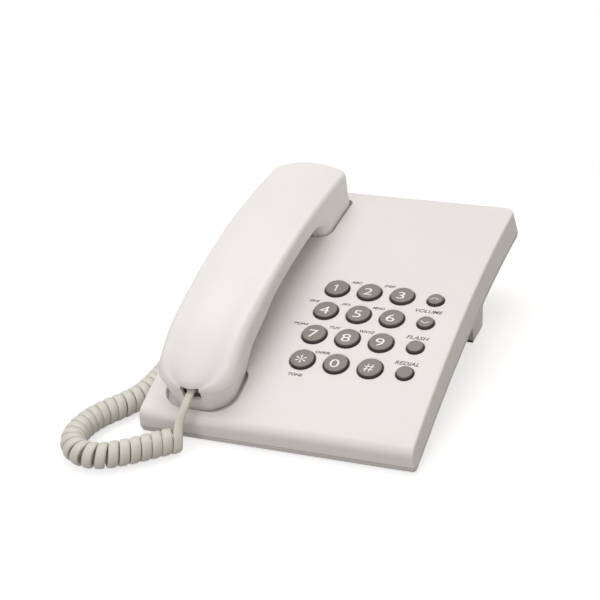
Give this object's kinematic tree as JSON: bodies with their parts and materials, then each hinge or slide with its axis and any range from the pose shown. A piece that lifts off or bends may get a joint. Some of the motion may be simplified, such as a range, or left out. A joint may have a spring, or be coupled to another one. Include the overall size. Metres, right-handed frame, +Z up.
{
  "type": "corded desk telephone",
  "caption": "Corded desk telephone with a wedge-shaped case on a rear stand, round dialling keys, a handset resting in its cradle and a curly cord lying beside the case.",
  "frame": {"origin": "on the table under the middle of the telephone's box, measured without the curly cord and its plugs", "axes": "X to the right as the user sees it, Y from the user's edge to the rear, Z up from the table"},
  "size_m": [0.185, 0.2561, 0.0818],
  "materials": {
    "shell": "fine satin moulded plastic, warm off-white",
    "cover": "satin moulded plastic, slightly darker off-white",
    "key": "satin warm grey plastic",
    "rubber": "matt black rubber",
    "silicone": "matt grey silicone",
    "board": "green laminate",
    "dark": "satin black plastic",
    "steel": "zinc-plated steel",
    "cord": "soft vinyl, off-white",
    "clear": "translucent pale plastic"
  },
  "bodies": {
    "base": {"ballast_plate": "steel", "base_bottom_cover": "cover", "base_handset_jack": "dark", "base_top_cover": "shell", "board_screw_1": "steel", "board_screw_2": "steel", "board_screw_3": "steel", "board_screw_4": "steel", "case_screw_1": "steel", "case_screw_2": "steel", "case_screw_3": "steel", "case_screw_4": "steel", "dial_mode_switch_body": "dark", "front_foot_left": "rubber", "front_foot_right": "rubber", "hook_switch": "dark", "keypad_rubber_mat": "silicone", "line_jack": "dark", "main_circuit_board": "board", "plug_base_end": "clear", "ringer_buzzer": "dark", "ringer_switch_body": "dark", "stand": "shell", "stand_pad_left": "rubber", "stand_pad_right": "rubber"},
    "handset": {"handset_upper_shell": "shell", "handset_lower_shell": "shell", "receiver_capsule": "dark", "microphone_boot": "rubber", "microphone_capsule": "steel", "handset_weight": "steel", "handset_screw_1": "steel", "handset_screw_2": "steel", "handset_jack": "dark", "plug_handset_end": "clear", "curly_cord": "cord"},
    "hook_plunger": {"hook_plunger": "shell"},
    "key_1_body": {"key_1": "key"},
    "key_2_body": {"key_2": "key"},
    "key_3_body": {"key_3": "key"},
    "key_4_body": {"key_4": "key"},
    "key_5_body": {"key_5": "key"},
    "key_6_body": {"key_6": "key"},
    "key_7_body": {"key_7": "key"},
    "key_8_body": {"key_8": "key"},
    "key_9_body": {"key_9": "key"},
    "key_star_body": {"key_star": "key"},
    "key_0_body": {"key_0": "key"},
    "key_hash_body": {"key_hash": "key"},
    "key_volume_up_body": {"key_volume_up": "key"},
    "key_volume_down_body": {"key_volume_down": "key"},
    "key_flash_body": {"key_flash": "key"},
    "key_redial_body": {"key_redial": "key"},
    "ringer_switch_knob_body": {"ringer_switch_knob": "shell"},
    "dial_mode_switch_knob_body": {"dial_mode_switch_knob": "shell"}
  },
  "joints": [
    {"name": "handset_lift", "type": "slide", "parent": "base", "child": "handset", "axis": [0, -0.3665, 0.9304], "range_m": [0, 0.1]},
    {"name": "hook_travel", "type": "slide", "parent": "base", "child": "hook_plunger", "axis": [0, -0.3665, 0.9304], "range_m": [0, 0.003]},
    {"name": "key_1_press", "type": "slide", "parent": "base", "child": "key_1_body", "axis": [0, 0.2037, -0.979], "range_m": [0, 0.0015], "stiffness_N_per_m": 300, "springref_m": -0.001},
    {"name": "key_2_press", "type": "slide", "parent": "base", "child": "key_2_body", "axis": [0, 0.2037, -0.979], "range_m": [0, 0.0015], "stiffness_N_per_m": 300, "springref_m": -0.001},
    {"name": "key_3_press", "type": "slide", "parent": "base", "child": "key_3_body", "axis": [0, 0.2037, -0.979], "range_m": [0, 0.0015], "stiffness_N_per_m": 300, "springref_m": -0.001},
    {"name": "key_4_press", "type": "slide", "parent": "base", "child": "key_4_body", "axis": [0, 0.2334, -0.9724], "range_m": [0, 0.0015], "stiffness_N_per_m": 300, "springref_m": -0.001},
    {"name": "key_5_press", "type": "slide", "parent": "base", "child": "key_5_body", "axis": [0, 0.2334, -0.9724], "range_m": [0, 0.0015], "stiffness_N_per_m": 300, "springref_m": -0.001},
    {"name": "key_6_press", "type": "slide", "parent": "base", "child": "key_6_body", "axis": [0, 0.2334, -0.9724], "range_m": [0, 0.0015], "stiffness_N_per_m": 300, "springref_m": -0.001},
    {"name": "key_7_press", "type": "slide", "parent": "base", "child": "key_7_body", "axis": [0, 0.263, -0.9648], "range_m": [0, 0.0015], "stiffness_N_per_m": 300, "springref_m": -0.001},
    {"name": "key_8_press", "type": "slide", "parent": "base", "child": "key_8_body", "axis": [0, 0.263, -0.9648], "range_m": [0, 0.0015], "stiffness_N_per_m": 300, "springref_m": -0.001},
    {"name": "key_9_press", "type": "slide", "parent": "base", "child": "key_9_body", "axis": [0, 0.263, -0.9648], "range_m": [0, 0.0015], "stiffness_N_per_m": 300, "springref_m": -0.001},
    {"name": "key_star_press", "type": "slide", "parent": "base", "child": "key_star_body", "axis": [0, 0.2923, -0.9563], "range_m": [0, 0.0015], "stiffness_N_per_m": 300, "springref_m": -0.001},
    {"name": "key_0_press", "type": "slide", "parent": "base", "child": "key_0_body", "axis": [0, 0.2923, -0.9563], "range_m": [0, 0.0015], "stiffness_N_per_m": 300, "springref_m": -0.001},
    {"name": "key_hash_press", "type": "slide", "parent": "base", "child": "key_hash_body", "axis": [0, 0.2923, -0.9563], "range_m": [0, 0.0015], "stiffness_N_per_m": 300, "springref_m": -0.001},
    {"name": "key_volume_up_press", "type": "slide", "parent": "base", "child": "key_volume_up_body", "axis": [0, 0.2037, -0.979], "range_m": [0, 0.0015], "stiffness_N_per_m": 300, "springref_m": -0.001},
    {"name": "key_volume_down_press", "type": "slide", "parent": "base", "child": "key_volume_down_body", "axis": [0, 0.2334, -0.9724], "range_m": [0, 0.0015], "stiffness_N_per_m": 300, "springref_m": -0.001},
    {"name": "key_flash_press", "type": "slide", "parent": "base", "child": "key_flash_body", "axis": [0, 0.263, -0.9648], "range_m": [0, 0.0015], "stiffness_N_per_m": 300, "springref_m": -0.001},
    {"name": "key_redial_press", "type": "slide", "parent": "base", "child": "key_redial_body", "axis": [0, 0.2923, -0.9563], "range_m": [0, 0.0015], "stiffness_N_per_m": 300, "springref_m": -0.001},
    {"name": "ringer_switch_knob_slide", "type": "slide", "parent": "base", "child": "ringer_switch_knob_body", "axis": [1, 0, 0], "range_m": [-0.002, 0.002]},
    {"name": "dial_mode_switch_knob_slide", "type": "slide", "parent": "base", "child": "dial_mode_switch_knob_body", "axis": [1, 0, 0], "range_m": [-0.002, 0.002]}
  ],
  "couplings": [
    {"joint": "hook_travel", "follows": "handset_lift", "ratio": 0.03}
  ]
}
